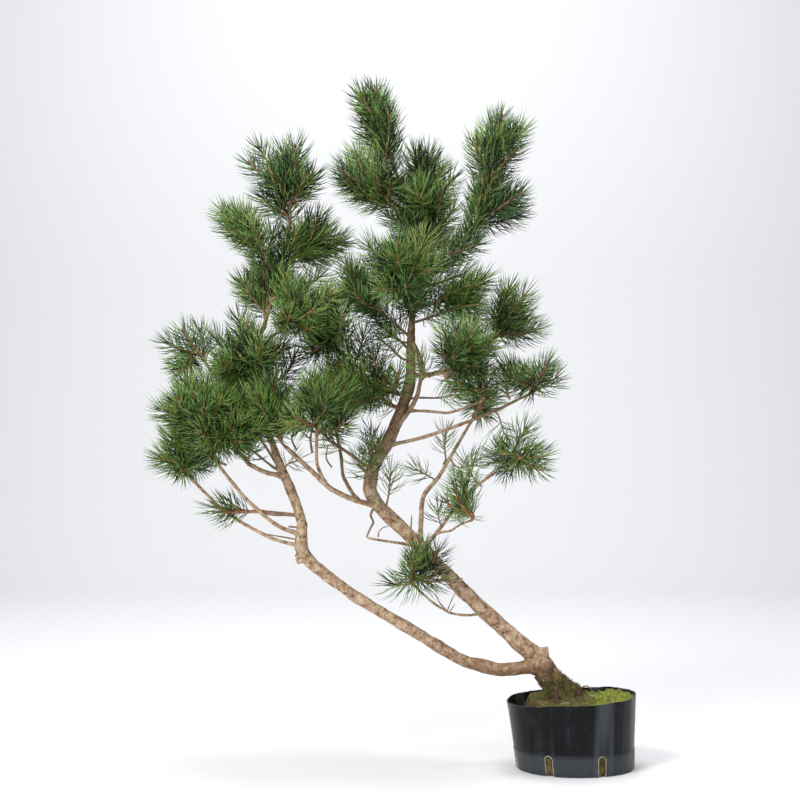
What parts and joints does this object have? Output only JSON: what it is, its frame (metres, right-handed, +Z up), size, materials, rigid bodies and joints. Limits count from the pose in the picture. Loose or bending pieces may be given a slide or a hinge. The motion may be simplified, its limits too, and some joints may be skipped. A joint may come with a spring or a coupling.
{
  "type": "potted pine pre-bonsai",
  "caption": "Young slanting pine on two bark-covered stems that part at the base, with tufted needle foliage, planted in a low round cut-down nursery pot.",
  "frame": {"origin": "centre of the pot's flat underside, on the surface it stands on", "axes": "+Z up, +X to the right of the tree's front so that the stems lean to -X, +Y back through the crown"},
  "size_m": [0.8746, 0.4231, 1.2461],
  "materials": {
    "pot": "matte black moulded plastic, dusty and scuffed",
    "soil": "moist dark soil under yellow-green and brown moss",
    "bark": "tan bark with brown flakes, scaly plates at the foot",
    "young_bark": "thin ringed brown bark of young boughs",
    "needles": "satin mid-green needles on red-brown shoots"
  },
  "bodies": {
    "root": {"bough_crown_left": "young_bark", "bough_crown_right": "young_bark", "bough_left_high": "young_bark", "bough_left_low": "young_bark", "bough_left_middle": "young_bark", "bough_left_side": "young_bark", "bough_low_front": "young_bark", "bough_middle": "young_bark", "bough_middle_front": "young_bark", "bough_middle_rear": "young_bark", "bough_right_high": "young_bark", "bough_right_long": "young_bark", "bough_right_low": "young_bark", "bough_right_rear": "young_bark", "bough_right_short": "young_bark", "bough_right_thin": "young_bark", "bough_side_stem": "young_bark", "bough_upper_left": "young_bark", "foliage_centre": "needles", "foliage_centre_front": "needles", "foliage_centre_low": "needles", "foliage_front_high": "needles", "foliage_left_far": "needles", "foliage_left_front": "needles", "foliage_left_high": "needles", "foliage_left_inner": "needles", "foliage_left_low_far": "needles", "foliage_left_rear": "needles", "foliage_left_side": "needles", "foliage_left_top": "needles", "foliage_left_top_left": "needles", "foliage_left_top_right": "needles", "foliage_left_tuft": "needles", "foliage_left_upper": "needles", "foliage_low_tuft": "needles", "foliage_middle_front": "needles", "foliage_middle_left": "needles", "foliage_middle_rear": "needles", "foliage_rear_high": "needles", "foliage_right_far": "needles", "foliage_right_front": "needles", "foliage_right_high": "needles", "foliage_right_low": "needles", "foliage_right_rear": "needles", "foliage_right_short": "needles", "foliage_right_thin": "needles", "foliage_shoulder_left": "needles", "foliage_shoulder_right": "needles", "foliage_top": "needles", "foliage_top_left": "needles", "foliage_top_middle": "needles", "foliage_top_right": "needles", "foliage_top_right_low": "needles", "left_leader": "bark", "left_stem": "bark", "left_stem_upper": "bark", "pot": "pot", "soil": "soil", "trunk": "bark", "trunk_upper": "bark"}
  },
  "joints": []
}
